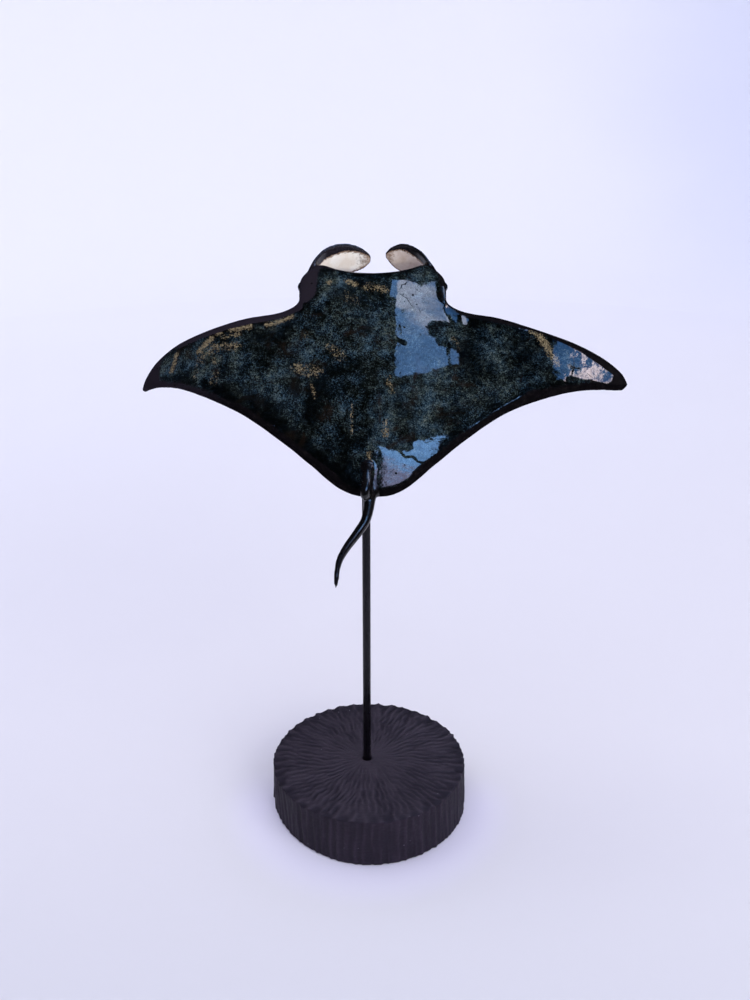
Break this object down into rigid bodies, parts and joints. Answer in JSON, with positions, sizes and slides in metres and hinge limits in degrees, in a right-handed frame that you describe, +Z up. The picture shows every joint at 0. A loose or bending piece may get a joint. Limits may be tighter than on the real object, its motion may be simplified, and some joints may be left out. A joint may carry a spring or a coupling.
{
  "type": "ceramic manta ray statue",
  "caption": "Glazed ceramic manta ray, nose up with curled head lobes and drooping wings, on a thin steel rod in a round carved wooden base.",
  "frame": {"origin": "middle of the base's flat underside, where it stands", "axes": "+Z up, +Y the way the ray's nose leans, +X towards its right wing"},
  "size_m": [0.229, 0.116, 0.286],
  "materials": {
    "dark_glaze": "gloss, mottled blue-green to black with brown streaks",
    "cream_glaze": "gloss with fine crackle",
    "eye_glaze": "gloss black",
    "blackened_steel": "satin black",
    "stained_wood": "matt dark stain over gouge marks"
  },
  "bodies": {
    "root": {"head": "dark_glaze", "trunk": "dark_glaze", "wing_left": "dark_glaze", "wing_right": "dark_glaze", "dorsal_fin": "dark_glaze", "tail": "dark_glaze", "lobe_left": "cream_glaze", "lobe_right": "cream_glaze", "eye_left": "eye_glaze", "eye_right": "eye_glaze", "stand_rod": "blackened_steel", "stand_base": "stained_wood"}
  },
  "joints": []
}
